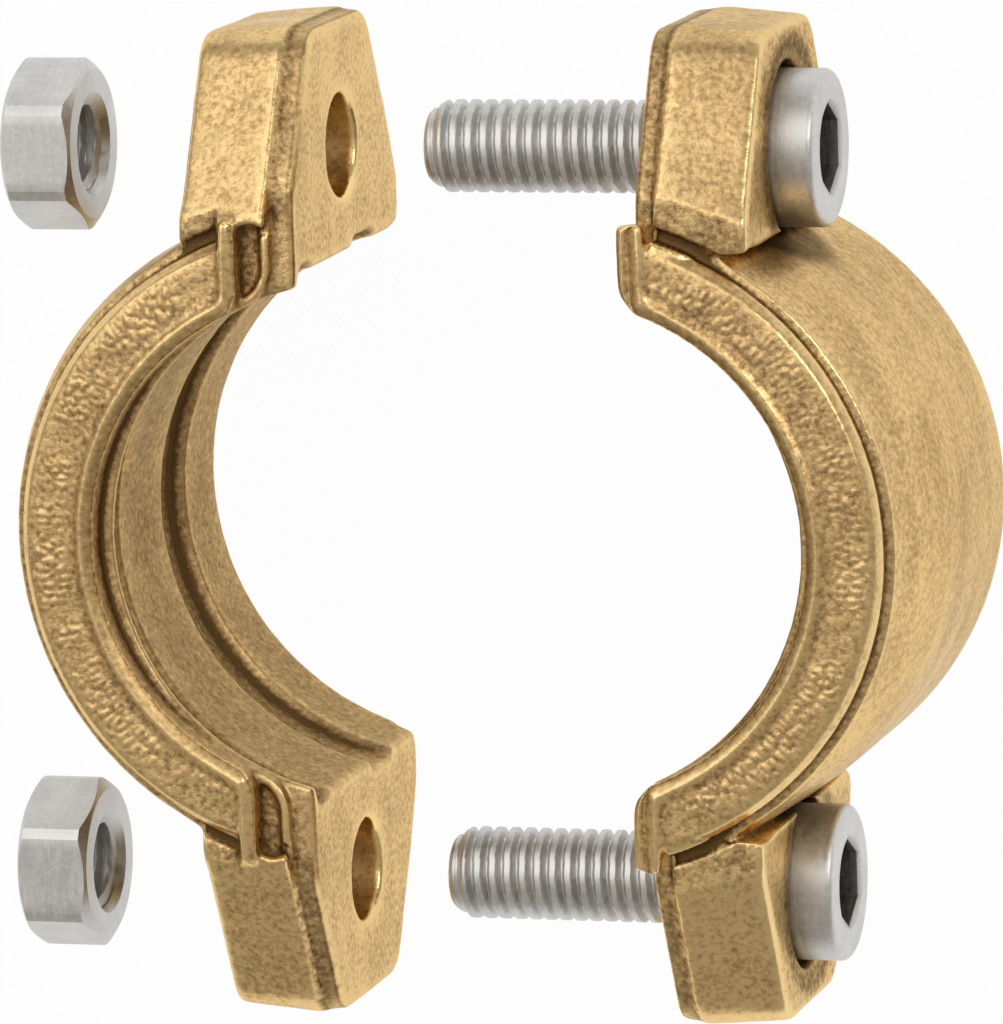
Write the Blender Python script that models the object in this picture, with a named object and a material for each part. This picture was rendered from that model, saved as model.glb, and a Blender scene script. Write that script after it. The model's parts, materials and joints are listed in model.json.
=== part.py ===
"""Two-screw split clamp: a pair of cast brass half shells, two socket head screws and two hexagon nuts.

The pieces lie apart, in line, as they are laid out before the clamp is closed round a hose or a pipe.
Units are metres. +Z is up, along the bore towards the flanged front. +X runs along the screws, from
the nuts to the heads. +Y runs from one pair of lugs to the other. The shells lie on their back faces.
"""
import math

import bpy
import bmesh
from mathutils import Matrix, Vector

# Ring of each half shell; its crowned back is struck from a centre shifted away from the other shell
RING_WIDTH = 0.0270
OUTER_RADIUS = 0.0201
OUTER_SHIFT = 0.00235
SHOULDER_RADIUS = 0.0209
SHOULDER_DEPTH = 0.0010
BACK_EDGE_ROUND = 0.0022
RING_SEGMENTS = 96

# Flange on the front of the ring: a sunk band inside a bead, which turns out along the flange's two ends
FLANGE_RADIUS = 0.0203
FLANGE_EDGE = 0.0010
FLANGE_THICKNESS = 0.0015
FLANGE_CORNER = 0.0022
FLANGE_END_REACH = 0.0205
LIP_RADIUS = 0.0158
LIP_SHIFT = 0.0005
BEAD_WIDTH = 0.0010
BEAD_CORNER = 0.0012
BAND_DEPTH = 0.0004

# Bore, struck from a centre past the clamp axis; its grooves are shifted less, and so thin out at their ends
BORE_RADIUS = 0.0172
BORE_SHIFT = 0.0019
RIDGE_HEIGHT = 0.0008
RIDGE_WIDTH = 0.0014
FRONT_GROOVE_WIDTH = 0.0026
FRONT_GROOVE_DEPTH = 0.0007
LAND_WIDTH = 0.0094
BACK_GROOVE_WIDTH = 0.0045
BACK_GROOVE_DEPTH = 0.0010
GROOVE_SLOPE = 0.0006
GROOVE_SHIFT = 0.0014

# Lugs and the raised pads on their parting side
SCREW_SPACING = 0.0471
LUG_END = 0.00835
LUG_ROOT = 0.0204
LUG_ROOT_WIDTH = 0.0260
LUG_TIP_WIDTH = 0.0138
LUG_CORNER_RADIUS = 0.0034
LUG_THICKNESS = 0.0073
LUG_DRAFT = 0.0009
PAD_HEIGHT = 0.00145
PAD_INSET = 0.0007
PAD_TIP_INSET = 0.0002
SEAT_THICKNESS = 0.0036
SCREW_HOLE_RADIUS = 0.0033

# Parting of the two shells: the plane of the pads, and where each flange ends, from the clamp axis
SCREW_SIDE_PARTING = 0.0045
NUT_SIDE_PARTING = 0.0018
SCREW_SIDE_FLANGE_LAP = 0.0009
NUT_SIDE_FLANGE_SETBACK = 0.0034
LAP_STEP = 0.0004
LEDGE_REACH = 0.0200
LEDGE_RIDGE_WIDTH = 0.0006
LEDGE_CHANNEL_DEPTH = 0.0005
LEDGE_CORNER = 0.0028

# Screws, a hexagon socket head on a metric thread, and their nuts
THREAD_DIAMETER = 0.0059
THREAD_PITCH = 0.0010
THREAD_DEPTH = 0.00055
SCREW_LENGTH = 0.0200
TIP_CHAMFER = 0.0004
HEAD_DIAMETER = 0.0100
HEAD_HEIGHT = 0.0060
HEAD_EDGE = 0.0004
SOCKET_ACROSS_FLATS = 0.0050
SOCKET_DEPTH = 0.0030
NUT_ACROSS_FLATS = 0.0100
NUT_ACROSS_CORNERS = 0.0111
NUT_HEIGHT = 0.0047
HARDWARE_SEGMENTS = 24

# Clearances
SEAT_GAP = 0.0003
LAP_GAP = 0.0003
HEAD_CLEARANCE = 0.0005
NUT_CLEARANCE = 0.0002
NUT_BORE_CLEARANCE = 0.0001

# How far apart the pieces are laid
PARTING_GAP = 0.0221
UPPER_NUT_DISTANCE = 0.0131
LOWER_NUT_DISTANCE = 0.0140

# How far a cutter runs past what it cuts
OVERRUN = 0.0100

# Places that follow from the sizes
SCREW_HEIGHT = RING_WIDTH / 2
LUG_REACH = SCREW_SPACING / 2 + LUG_END
LEDGE_HEIGHT = RING_WIDTH - FLANGE_THICKNESS
NUT_SEAT = NUT_SIDE_PARTING + SEAT_THICKNESS
FARTHEST_NUT = NUT_SEAT + max(UPPER_NUT_DISTANCE, LOWER_NUT_DISTANCE) + NUT_HEIGHT
AXIS_SPREAD = PARTING_GAP - SCREW_SIDE_PARTING - NUT_SIDE_PARTING
OUTER_REACH = OUTER_RADIUS + OUTER_SHIFT
SCREW_SIDE_X = (AXIS_SPREAD + FARTHEST_NUT - OUTER_REACH) / 2
NUT_SIDE_X = SCREW_SIDE_X - AXIS_SPREAD

BRASS = (0.60, 0.41, 0.17)
STAINLESS = (0.56, 0.56, 0.55)


def clear_scene():
    for item in list(bpy.data.objects):
        bpy.data.objects.remove(item, do_unlink=True)


def metal(name, colour, roughness):
    """One metal finish: colour, roughness and full metallic."""
    material = bpy.data.materials.new(name)
    material.use_nodes = True
    shader = material.node_tree.nodes["Principled BSDF"]
    shader.inputs["Base Color"].default_value = (*colour, 1.0)
    shader.inputs["Roughness"].default_value = roughness
    shader.inputs["Metallic"].default_value = 1.0
    return material


def mesh_object(name, points, faces):
    """A linked object from points and faces, with its normals pointing out."""
    mesh = bpy.data.meshes.new(name)
    mesh.from_pydata([tuple(point) for point in points], [], faces)
    work = bmesh.new()
    work.from_mesh(mesh)
    bmesh.ops.recalc_face_normals(work, faces=work.faces)
    work.to_mesh(mesh)
    work.free()
    item = bpy.data.objects.new(name, mesh)
    bpy.context.collection.objects.link(item)
    return item


def as_cutter(item):
    item.hide_render = True
    item.display_type = 'WIRE'
    return item


def turned(name, profile, closed=True):
    """A solid of level circles from (radius, height, centre) rows, each circle centred at x = centre.

    A closed profile is a ring. An open one is filled flat at its two ends.
    """
    rows = len(profile)
    points = []
    for step in range(RING_SEGMENTS):
        angle = 2 * math.pi * step / RING_SEGMENTS
        for radius, height, centre in profile:
            points.append((centre + radius * math.cos(angle), radius * math.sin(angle), height))
    faces = []
    for step in range(RING_SEGMENTS):
        here = step * rows
        ahead = (step + 1) % RING_SEGMENTS * rows
        for row in range(rows if closed else rows - 1):
            after = (row + 1) % rows
            faces.append((here + row, ahead + row, ahead + after, here + after))
    if not closed:
        for row in (0, rows - 1):
            faces.append([step * rows + row for step in range(RING_SEGMENTS)])
    return mesh_object(name, points, faces)


def prism(name, outline, start, end, place, far_outline=None):
    """A solid from a flat outline at start to the same, or far_outline, at end; place() sets each point."""
    count = len(outline)
    points = [place(a, b, start) for a, b in outline]
    points += [place(a, b, end) for a, b in far_outline or outline]
    faces = [list(range(count)), list(range(count, 2 * count))]
    for corner in range(count):
        after = (corner + 1) % count
        faces.append((corner, after, count + after, count + corner))
    return mesh_object(name, points, faces)


def across(y, z, x):
    """Place a (y, z) outline that is swept along x."""
    return (x, y, z)


def sideways(x, z, y):
    """Place an (x, z) outline that is swept along y."""
    return (x, y, z)


def upright(x, y, z):
    """Place an (x, y) outline that is swept along z."""
    return (x, y, z)


def round_corner(corner, before, after, radius, steps=5):
    """Points of an arc that rounds one corner of an outline."""
    corner = Vector(corner)
    inward = (Vector(before) - corner).normalized()
    outward = (Vector(after) - corner).normalized()
    half = inward.angle(outward) / 2
    centre = corner + (inward + outward).normalized() * radius / math.sin(half)
    first = corner + inward * radius / math.tan(half) - centre
    last = corner + outward * radius / math.tan(half) - centre
    turn = first.angle_signed(last)
    arc = [Matrix.Rotation(-turn * step / steps, 2) @ first + centre for step in range(steps + 1)]
    return [tuple(point) for point in arc]


def lug_outline(inset, tip_inset, base, low, high):
    """One lug in the (y, z) plane: a tapered ear with a rounded tip, from y = base outwards.

    The sides are drawn in by inset and the tip by tip_inset. The root is held between two heights.
    """
    slope = (LUG_ROOT_WIDTH - LUG_TIP_WIDTH) / 2 / (LUG_REACH - LUG_ROOT)
    tip = LUG_REACH - tip_inset
    shrink = inset * math.hypot(1.0, slope)

    def half_width(y):
        return LUG_ROOT_WIDTH / 2 - slope * (y - LUG_ROOT) - shrink

    def where(width):
        return LUG_ROOT + (LUG_ROOT_WIDTH / 2 - shrink - width) / slope

    tip_half = half_width(tip)
    low_shoulder = (where(SCREW_HEIGHT - low), low)
    high_shoulder = (where(high - SCREW_HEIGHT), high)
    low_tip = (tip, SCREW_HEIGHT - tip_half)
    high_tip = (tip, SCREW_HEIGHT + tip_half)
    radius = LUG_CORNER_RADIUS - inset
    outline = [(base, low), low_shoulder]
    outline += round_corner(low_tip, low_shoulder, high_tip, radius)
    outline += round_corner(high_tip, low_tip, high_shoulder, radius)
    outline += [high_shoulder, (base, high)]
    return outline


def mirrored(name, outline, start, end, far_outline=None, place=across):
    """A prism on the +Y side and its mirror image on the other side of the bore, as one mesh."""
    upper = prism(name, outline, start, end, place, far_outline)
    work = bmesh.new()
    work.from_mesh(upper.data)
    mirrored = bmesh.ops.duplicate(work, geom=work.faces[:])["geom"]
    corners = [part for part in mirrored if isinstance(part, bmesh.types.BMVert)]
    sides = [part for part in mirrored if isinstance(part, bmesh.types.BMFace)]
    bmesh.ops.scale(work, vec=(1.0, -1.0, 1.0), verts=corners)
    bmesh.ops.reverse_faces(work, faces=sides)
    work.to_mesh(upper.data)
    work.free()
    return as_cutter(upper)


def ring_profile():
    """Outside of the ring from back to front, closed down its inside."""
    middle = RING_WIDTH * 0.55
    profile = []
    for step in range(4):
        angle = math.radians(30 * step)
        profile.append((OUTER_RADIUS - BACK_EDGE_ROUND * (1 - math.sin(angle)),
                        BACK_EDGE_ROUND * (1 - math.cos(angle)), OUTER_SHIFT))
    crown_steps = 4
    span = LEDGE_HEIGHT - SHOULDER_DEPTH - middle
    for step in range(crown_steps + 1):
        share = step / crown_steps
        bend = share ** 2
        profile.append((OUTER_RADIUS + (SHOULDER_RADIUS - OUTER_RADIUS) * bend, middle + span * share,
                        OUTER_SHIFT * (1 - bend)))
    profile.append((SHOULDER_RADIUS - (SHOULDER_RADIUS - FLANGE_RADIUS) * 0.3,
                    LEDGE_HEIGHT - SHOULDER_DEPTH * 0.3, 0.0))
    profile.append((FLANGE_RADIUS, LEDGE_HEIGHT, 0.0))
    profile.append((FLANGE_RADIUS - FLANGE_EDGE * 0.3, RING_WIDTH - FLANGE_EDGE, 0.0))
    profile.append((FLANGE_RADIUS - FLANGE_EDGE, RING_WIDTH, 0.0))
    inside = BORE_RADIUS - 2 * BORE_SHIFT - 2 * RIDGE_HEIGHT
    profile += [(inside, RING_WIDTH, 0.0), (inside, 0.0, 0.0)]
    return profile


def bore_profile():
    """Bore from the front ledge to the back: ridge, groove, land, groove and back rim."""
    def plain(offset, height):
        return (BORE_RADIUS + offset, height, -BORE_SHIFT)

    def groove(depth, height):
        return (BORE_RADIUS - BORE_SHIFT + GROOVE_SHIFT + depth, height, -GROOVE_SHIFT)

    height = LEDGE_HEIGHT
    profile = [plain(-RIDGE_HEIGHT, height + OVERRUN)]
    height -= RIDGE_WIDTH
    profile += [plain(-RIDGE_HEIGHT, height), groove(FRONT_GROOVE_DEPTH, height - GROOVE_SLOPE)]
    height -= FRONT_GROOVE_WIDTH
    profile += [groove(FRONT_GROOVE_DEPTH, height), plain(0.0, height - GROOVE_SLOPE)]
    height -= LAND_WIDTH
    profile += [plain(0.0, height), groove(BACK_GROOVE_DEPTH, height - GROOVE_SLOPE)]
    height -= BACK_GROOVE_WIDTH
    profile += [groove(BACK_GROOVE_DEPTH, height), plain(0.0, height - GROOVE_SLOPE)]
    profile += [plain(0.0, GROOVE_SLOPE), plain(GROOVE_SLOPE, 0.0), plain(GROOVE_SLOPE, -OVERRUN)]
    return profile


def bore_cutter():
    """What the bore takes out below the flange; the flange has its own rounder lip."""
    cutter = turned("bore_cutter", bore_profile(), closed=False)
    reach = OUTER_RADIUS + OVERRUN
    lid = prism("bore_lid", [(-reach, LEDGE_HEIGHT), (reach, LEDGE_HEIGHT),
                             (reach, LEDGE_HEIGHT + 2 * OVERRUN), (-reach, LEDGE_HEIGHT + 2 * OVERRUN)],
                -reach, reach, sideways)
    combine(cutter, 'DIFFERENCE', as_cutter(lid))
    return as_cutter(cutter)


def lip_cutter():
    """The round opening in the flange."""
    profile = [(LIP_RADIUS, RING_WIDTH + OVERRUN, -LIP_SHIFT),
               (LIP_RADIUS, LEDGE_HEIGHT - RIDGE_WIDTH / 2, -LIP_SHIFT)]
    return as_cutter(turned("lip_cutter", profile, closed=False))


def corner_arc(end, inner, shift, corner, steps=6):
    """Arc that rounds the +Y corner between a half ring's inner edge and its end, in that order.

    The inner edge is struck from x = -shift, and the end is at x = end.
    """
    x = end + shift + corner
    y = math.sqrt((inner + corner) ** 2 - x ** 2)
    sweep = math.atan2(y, x)
    angles = [math.pi + sweep * (1 - step / steps) for step in range(steps + 1)]
    return [(x - shift + corner * math.cos(angle), y + corner * math.sin(angle)) for angle in angles]


def half_ring(end, inner, shift, outer, corner):
    """Half a ring in the (x, y) plane, from x = end outwards, with its inner corners rounded."""
    rounded = corner_arc(end, inner, shift, corner)
    inner_reach = math.atan2(rounded[0][1], rounded[0][0] + shift)
    outer_reach = math.acos(end / outer)
    steps = RING_SEGMENTS // 2
    shares = [2 * step / steps - 1 for step in range(steps + 1)]
    outline = [(inner * math.cos(inner_reach * share) - shift, inner * math.sin(inner_reach * share))
               for share in shares[1:-1]]
    outline += rounded
    outline += [(outer * math.cos(outer_reach * share), -outer * math.sin(outer_reach * share))
                for share in shares]
    outline += [(a, -b) for a, b in reversed(rounded)]
    return outline


def corner_cutters(name, end, inner, shift, corner, bottom, top):
    """What rounds the two inner corners of a half ring."""
    arc = corner_arc(end, inner, shift, corner)
    start, finish = Vector(arc[0]), Vector(arc[-1])
    clear = corner / 4
    within = start - (start - Vector((-shift, 0.0))).normalized() * clear
    outline = arc + [(finish.x - clear, finish.y), (finish.x - clear, within.y), tuple(within)]
    return mirrored(name, outline, bottom, top, place=upright)


def plan_cutter(name, bottom, top, outline, kept=None):
    """An upright cutter over a plan outline, less another outline that is kept."""
    cutter = prism(name, outline, bottom, top, upright)
    if kept:
        combine(cutter, 'DIFFERENCE',
                as_cutter(prism(name + "_kept", kept, bottom - OVERRUN, top + OVERRUN, upright)))
    return as_cutter(cutter)


def parting_cutter(body_level, flange_end, ledge):
    """What is taken off the parting side: up to body_level below the ledge, flange_end above it."""
    reach = OUTER_RADIUS + OVERRUN
    outline = [(-reach, -OVERRUN), (body_level, -OVERRUN), (body_level, ledge), (flange_end, ledge),
               (flange_end, RING_WIDTH + OVERRUN), (-reach, RING_WIDTH + OVERRUN)]
    return as_cutter(prism("parting_cutter", outline, -reach, reach, sideways))


def axial(radius, sides, turn=0.0):
    """A regular outline round the screw axis in the (y, z) plane, centred on the upper screw."""
    outline = []
    for side in range(sides):
        angle = 2 * math.pi * side / sides + turn
        outline.append((SCREW_SPACING / 2 + radius * math.cos(angle),
                        SCREW_HEIGHT + radius * math.sin(angle)))
    return outline


def combine(target, operation, other):
    """One Boolean step on target; the other solid is parented to it, so that the two stay together."""
    other.parent = target
    step = target.modifiers.new(f"{operation.lower()}_{other.name}", 'BOOLEAN')
    step.operation = operation
    step.solver = 'EXACT'
    step.object = other


def smooth_rounds(item, limit=35.0):
    item.data.shade_smooth()
    item.data.set_sharp_from_angle(angle=math.radians(limit))


def flange_steps(shell, flange_end, base, tongue):
    """Round the flange's ends, sink its band inside the bead, and lower its tongue."""
    front = RING_WIDTH + OVERRUN
    beyond = FLANGE_RADIUS + OVERRUN
    bead_end = flange_end + tongue
    bar = [(flange_end, LIP_RADIUS + BEAD_WIDTH), (bead_end + BEAD_WIDTH, LIP_RADIUS + BEAD_WIDTH),
           (bead_end + BEAD_WIDTH, FLANGE_END_REACH), (flange_end, FLANGE_END_REACH)]
    combine(shell, 'UNION', mirrored("end_bars", bar, base, RING_WIDTH, place=upright))
    combine(shell, 'DIFFERENCE', corner_cutters("flange_corners", flange_end, LIP_RADIUS, LIP_SHIFT,
                                                FLANGE_CORNER, base, front))
    band = half_ring(bead_end + BEAD_WIDTH, LIP_RADIUS + BEAD_WIDTH, LIP_SHIFT, beyond, BEAD_CORNER)
    combine(shell, 'DIFFERENCE', plan_cutter("band", RING_WIDTH - BAND_DEPTH, front, band))
    if tongue:
        reach = half_ring(flange_end - tongue, LIP_RADIUS - BEAD_WIDTH, LIP_SHIFT, beyond, FLANGE_CORNER)
        bead = half_ring(bead_end, LIP_RADIUS - BEAD_WIDTH / 2, LIP_SHIFT, 2 * beyond, FLANGE_CORNER)
        combine(shell, 'DIFFERENCE', plan_cutter("tongue", RING_WIDTH - LAP_STEP, front, reach, bead))


def ledge_steps(shell, body_level, flange_end):
    """Carry the ledge out over the lugs' roots, with a channel between the flange's end and a ridge."""
    front = RING_WIDTH + OVERRUN
    ridge = BORE_RADIUS - RIDGE_HEIGHT
    outer = math.hypot(LEDGE_REACH, flange_end)
    root = [(body_level - OVERRUN, LIP_RADIUS), (flange_end, LIP_RADIUS),
            (flange_end, LEDGE_REACH), (body_level - OVERRUN, LEDGE_REACH)]
    combine(shell, 'DIFFERENCE', mirrored("ledge", root, LEDGE_HEIGHT, front, place=upright))
    channel = half_ring(body_level + LEDGE_RIDGE_WIDTH, ridge + LEDGE_RIDGE_WIDTH, BORE_SHIFT, outer,
                        LEDGE_CORNER - LEDGE_RIDGE_WIDTH)
    flange = half_ring(flange_end, LIP_RADIUS - BEAD_WIDTH / 10, LIP_SHIFT, 2 * outer, FLANGE_CORNER)
    combine(shell, 'DIFFERENCE', plan_cutter("channel", LEDGE_HEIGHT - LEDGE_CHANNEL_DEPTH, front,
                                             channel, flange))


def half_shell(name, parting, flange_end, lap, tongue, recess, finish):
    """One cast shell: a half ring with its flange, two lugs with pads, screw holes and recesses.

    The flange runs past the parting as a tongue, or stops short of it over a ledge where there is none.
    """
    body_level = parting + PAD_HEIGHT
    outside = parting + LUG_THICKNESS
    low = (RING_WIDTH - LUG_ROOT_WIDTH) / 2
    shell = turned(name, ring_profile())
    root = LUG_ROOT - BORE_SHIFT
    ear = lug_outline(0.0, 0.0, root, low, RING_WIDTH - low)
    ear_end = lug_outline(LUG_DRAFT, LUG_DRAFT / 2, root, low + LUG_DRAFT, RING_WIDTH - low - LUG_DRAFT)
    pad = lug_outline(PAD_INSET, PAD_TIP_INSET, LIP_RADIUS - OVERRUN / 4,
                      low + PAD_INSET, LEDGE_HEIGHT - PAD_INSET)
    combine(shell, 'DIFFERENCE', parting_cutter(body_level, flange_end, LEDGE_HEIGHT + lap))
    if not tongue:
        combine(shell, 'DIFFERENCE', corner_cutters("ridge_corners", body_level, BORE_RADIUS - RIDGE_HEIGHT,
                                                    BORE_SHIFT, LEDGE_CORNER, LEDGE_HEIGHT - RIDGE_WIDTH,
                                                    RING_WIDTH))
    combine(shell, 'UNION', mirrored("lugs", ear, body_level, outside, ear_end))
    combine(shell, 'UNION', mirrored("pads", pad, parting, body_level + PAD_HEIGHT))
    combine(shell, 'DIFFERENCE', bore_cutter())
    combine(shell, 'DIFFERENCE', lip_cutter())
    flange_steps(shell, flange_end, LEDGE_HEIGHT + lap, tongue)
    if not tongue:
        ledge_steps(shell, body_level, flange_end)
    hole = axial(SCREW_HOLE_RADIUS, HARDWARE_SEGMENTS)
    combine(shell, 'DIFFERENCE', mirrored("screw_holes", hole, parting - OVERRUN, outside + OVERRUN))
    combine(shell, 'DIFFERENCE', mirrored("recesses", recess, parting + SEAT_THICKNESS,
                                          OUTER_REACH + OVERRUN))
    shell.data.materials.append(finish)
    smooth_rounds(shell)
    return shell


def ring_stack(name, rings):
    """A ring-shaped solid about the X axis, from rings of equal count, the last joined to the first."""
    count = len(rings[0])
    points = [point for ring in rings for point in ring]
    faces = []
    for row in range(len(rings)):
        here = row * count
        ahead = (row + 1) % len(rings) * count
        for side in range(count):
            after = (side + 1) % count
            faces.append((here + side, here + after, ahead + after, ahead + side))
    return mesh_object(name, points, faces)


def hexagon_radius(angle, across_flats):
    """Distance from the centre to a hexagon's edge, with a corner at angle zero."""
    return across_flats / 2 / math.cos((angle % (math.pi / 3)) - math.pi / 6)


def nut_radius(angle):
    """Outline of the nut: a hexagon with its corners turned down a little."""
    return min(hexagon_radius(angle, NUT_ACROSS_FLATS), NUT_ACROSS_CORNERS / 2)


EVEN_ANGLES = [2 * math.pi * side / HARDWARE_SEGMENTS for side in range(HARDWARE_SEGMENTS)]


def round_ring(x, radius, angles=EVEN_ANGLES):
    """A ring of points about the X axis; radius is a number or a function of the angle."""
    ring = []
    for angle in angles:
        here = radius(angle) if callable(radius) else radius
        ring.append((x, here * math.cos(angle), here * math.sin(angle)))
    return ring


def hexagon_ring(x, across_flats):
    return round_ring(x, lambda angle: hexagon_radius(angle, across_flats))


def threaded_rod(start, end):
    """Points and faces of a helical thread on the X axis, with a plain ring at each end.

    Each column runs along the rod, root and crest in turn, and is set on by its share of the pitch.
    """
    crest = THREAD_DIAMETER / 2
    root = crest - THREAD_DEPTH
    count = HARDWARE_SEGMENTS
    turns = math.floor((end - start) / THREAD_PITCH) - 1
    rows = 2 * turns + 1
    first = start + (end - start - (turns + 1) * THREAD_PITCH) / 2
    points = round_ring(start, root)
    for side in range(count):
        angle = 2 * math.pi * side / count
        for row in range(rows):
            radius = crest if row % 2 else root
            x = first + THREAD_PITCH * (row / 2 + side / count)
            points.append((x, radius * math.cos(angle), radius * math.sin(angle)))
    points += round_ring(end, root)

    def thread(side, row):
        return count + side * rows + row

    last = count + count * rows
    faces = []
    for side in range(count - 1):
        for row in range(rows - 1):
            faces.append((thread(side, row), thread(side + 1, row),
                          thread(side + 1, row + 1), thread(side, row + 1)))
        faces.append((side, side + 1, thread(side + 1, 0), thread(side, 0)))
        faces.append((thread(side, rows - 1), thread(side + 1, rows - 1), last + side + 1, last + side))
    seam = count - 1
    for row in range(rows - 3):
        faces.append((thread(seam, row), thread(0, row + 2), thread(0, row + 3), thread(seam, row + 1)))
    run_in = [0, thread(0, 0), thread(0, 1), thread(0, 2), thread(seam, 0)]
    faces += [(seam, run_in[step], run_in[step + 1]) for step in range(4)]
    run_out = [thread(0, rows - 1), thread(seam, rows - 3), thread(seam, rows - 2),
               thread(seam, rows - 1), last + seam]
    faces += [(last, run_out[step], run_out[step + 1]) for step in range(4)]
    return points, faces


def socket_screw(name, finish):
    """A socket head screw along X: its head's seat is at the origin and its tip points to -X."""
    crest = THREAD_DIAMETER / 2
    root = crest - THREAD_DEPTH
    count = HARDWARE_SEGMENTS
    head = HEAD_DIAMETER / 2
    points, faces = threaded_rod(-SCREW_LENGTH + TIP_CHAMFER, -THREAD_PITCH / 2)
    tail = len(points) - count
    tip = round_ring(-SCREW_LENGTH, root - TIP_CHAMFER)
    rings = [round_ring(0.0, root), round_ring(0.0, head - HEAD_EDGE / 2), round_ring(HEAD_EDGE / 2, head),
             round_ring(HEAD_HEIGHT - HEAD_EDGE, head), round_ring(HEAD_HEIGHT, head - HEAD_EDGE),
             hexagon_ring(HEAD_HEIGHT, SOCKET_ACROSS_FLATS),
             hexagon_ring(HEAD_HEIGHT - SOCKET_DEPTH, SOCKET_ACROSS_FLATS)]
    below = tail
    for ring in rings:
        above = len(points)
        points += ring
        for side in range(count):
            after = (side + 1) % count
            faces.append((below + side, below + after, above + after, above + side))
        below = above
    drill = len(points)
    points.append((HEAD_HEIGHT - SOCKET_DEPTH - SOCKET_ACROSS_FLATS / 4, 0.0, 0.0))
    faces += [(below + side, below + (side + 1) % count, drill) for side in range(count)]
    end = len(points)
    points += tip
    for side in range(count):
        after = (side + 1) % count
        faces.append((side, after, end + after, end + side))
    faces.append([end + side for side in range(count)])
    screw = mesh_object(name, points, faces)
    screw.data.materials.append(finish)
    smooth_rounds(screw)
    return screw


def hexagon_nut(name, finish):
    """A nut along X with its seat at the origin, a corner towards +Y and its corners chamfered."""
    face = NUT_ACROSS_FLATS / 2 * 0.97
    bore = THREAD_DIAMETER / 2 + NUT_BORE_CLEARANCE
    flare = bore + THREAD_DEPTH / 2
    corner = math.pi / 6 - math.acos(NUT_ACROSS_FLATS / NUT_ACROSS_CORNERS)
    marks = (-corner, corner, math.pi / 12, math.pi / 6, math.pi / 4)
    angles = [side * math.pi / 3 + mark for side in range(6) for mark in marks]
    drops = [(nut_radius(angle) - face) * math.tan(math.pi / 6) for angle in angles]

    def level(x, radius):
        return round_ring(x, radius, angles)

    def side_ring(base, sense):
        return [(base + sense * drop, y, z) for drop, (x, y, z) in zip(drops, level(0.0, nut_radius))]

    back = -NUT_HEIGHT
    rings = [level(0.0, flare), level(0.0, face), side_ring(0.0, -1), side_ring(back, 1),
             level(back, face), level(back, flare),
             level(back + THREAD_DEPTH / 2, bore), level(-THREAD_DEPTH / 2, bore)]
    nut = ring_stack(name, rings)
    nut.data.materials.append(finish)
    smooth_rounds(nut, 20.0)
    return nut


def build():
    clear_scene()
    brass = metal("cast_brass", BRASS, 0.38)
    stainless = metal("stainless_steel", STAINLESS, 0.30)

    head_recess = axial(HEAD_DIAMETER / 2 + HEAD_CLEARANCE, 2 * HARDWARE_SEGMENTS)
    nut_corner = (NUT_ACROSS_FLATS / 2 + NUT_CLEARANCE) / math.cos(math.pi / 6)
    nut_recess = axial(nut_corner, 6)

    screw_side = half_shell("screw_side_shell", SCREW_SIDE_PARTING,
                            SCREW_SIDE_PARTING - SCREW_SIDE_FLANGE_LAP, LAP_GAP, SCREW_SIDE_FLANGE_LAP,
                            head_recess, brass)
    screw_side.location = (SCREW_SIDE_X, 0.0, 0.0)
    nut_side = half_shell("nut_side_shell", NUT_SIDE_PARTING,
                          NUT_SIDE_PARTING + NUT_SIDE_FLANGE_SETBACK, 0.0, 0.0, nut_recess, brass)
    nut_side.location = (NUT_SIDE_X, 0.0, 0.0)
    nut_side.rotation_euler = (0.0, 0.0, math.pi)

    for label, side, distance in (("upper", 1, UPPER_NUT_DISTANCE), ("lower", -1, LOWER_NUT_DISTANCE)):
        screw = socket_screw(f"{label}_screw", stainless)
        screw.location = (SCREW_SIDE_X + SCREW_SIDE_PARTING + SEAT_THICKNESS + SEAT_GAP,
                          side * SCREW_SPACING / 2, SCREW_HEIGHT)
        nut = hexagon_nut(f"{label}_nut", stainless)
        nut.location = (NUT_SIDE_X - NUT_SEAT - distance, side * SCREW_SPACING / 2, SCREW_HEIGHT)


build()
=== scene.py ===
"""Looks of a two-screw split clamp: pressed brass shells, steel socket screws and hexagon nuts.

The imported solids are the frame. Each shell is a finely remeshed copy of its solid with its edges worn
round, and the screws and nuts are turned from a profile by one node tree, with real threads.
"""

import json
import math

import bmesh
import bpy
import numpy as np
from bpy.props import (
    FloatProperty, FloatVectorProperty, IntProperty, PointerProperty,
)
from mathutils import Matrix, Vector

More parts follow.
